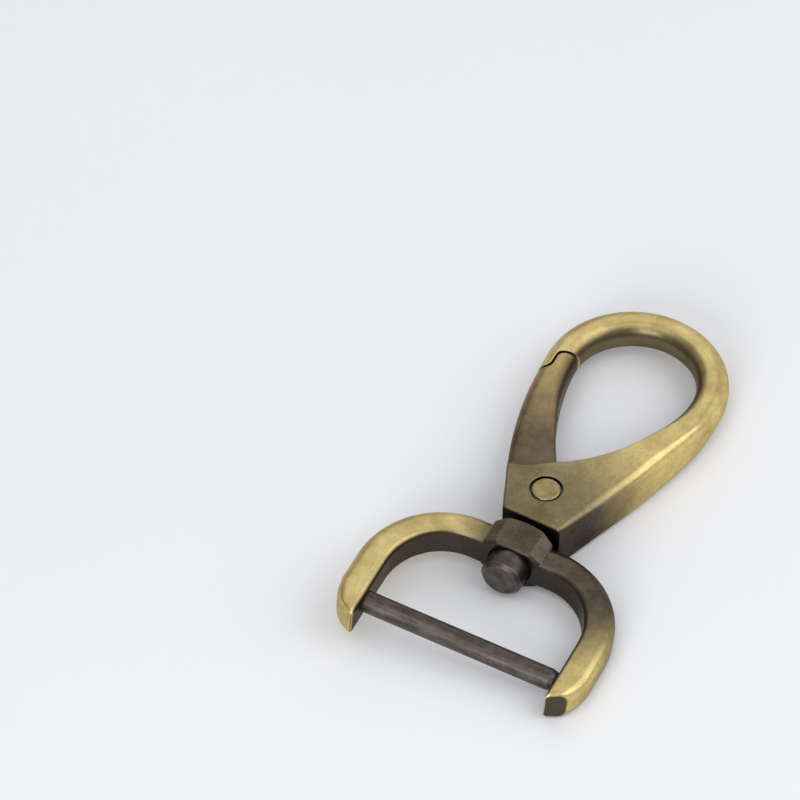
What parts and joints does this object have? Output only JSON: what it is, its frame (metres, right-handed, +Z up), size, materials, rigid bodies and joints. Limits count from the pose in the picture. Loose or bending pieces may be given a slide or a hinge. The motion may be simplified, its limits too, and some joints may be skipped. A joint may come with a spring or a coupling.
{
  "type": "swivel snap hook",
  "caption": "Swivel snap hook: cast teardrop loop with a sprung inward gate, turning on a headed stud in a D-shaped shackle with a screw-in strap bar.",
  "frame": {"origin": "middle of the hook's outline in plan, on the plane that its back face lies on", "axes": "+Y along the swivel axis towards the tip of the loop, +Z up out of the front face that shows the rivet's flush head, the gate on the -X side"},
  "size_m": [0.0326, 0.0618, 0.0066],
  "materials": {
    "body_casting": "zinc-alloy casting, antique-brass plated, brushed satin with brown patina and clear lacquer",
    "gate_casting": "zinc-alloy casting, antique-brass plated, darker brown patina",
    "rivet": "steel rivet, antique-brass plated",
    "spring": "drawn spring wire",
    "stud": "steel, dark gunmetal brown plating",
    "shackle_casting": "zinc-alloy casting, antique-brass plated, dark patina at the collar and inner faces",
    "bar": "turned steel, dark gunmetal brown plating with worn edges"
  },
  "bodies": {
    "hook": {"hook_body": "body_casting", "pivot_rivet": "rivet", "gate_spring": "spring", "swivel_stud": "stud"},
    "gate": {"gate": "gate_casting"},
    "shackle": {"shackle": "shackle_casting"},
    "screw_bar": {"screw_bar": "bar"}
  },
  "joints": [
    {"name": "gate_pivot", "type": "hinge", "parent": "hook", "child": "gate", "pos_m": [0, -0.00337, 0.0033], "axis": [0, 0, -1], "range_deg": [0, 28], "stiffness_Nm_per_rad": 0.04, "springref_deg": -34.38, "deforming": ["gate_spring"]},
    {"name": "swivel", "type": "hinge", "parent": "hook", "child": "shackle", "pos_m": [0, -0.011, 0.0033], "axis": [0, 1, 0], "continuous": true},
    {"name": "bar_draw", "type": "slide", "parent": "shackle", "child": "screw_bar", "axis": [-0.9972, 0, 0.0745], "range_m": [0, 0.034]}
  ]
}
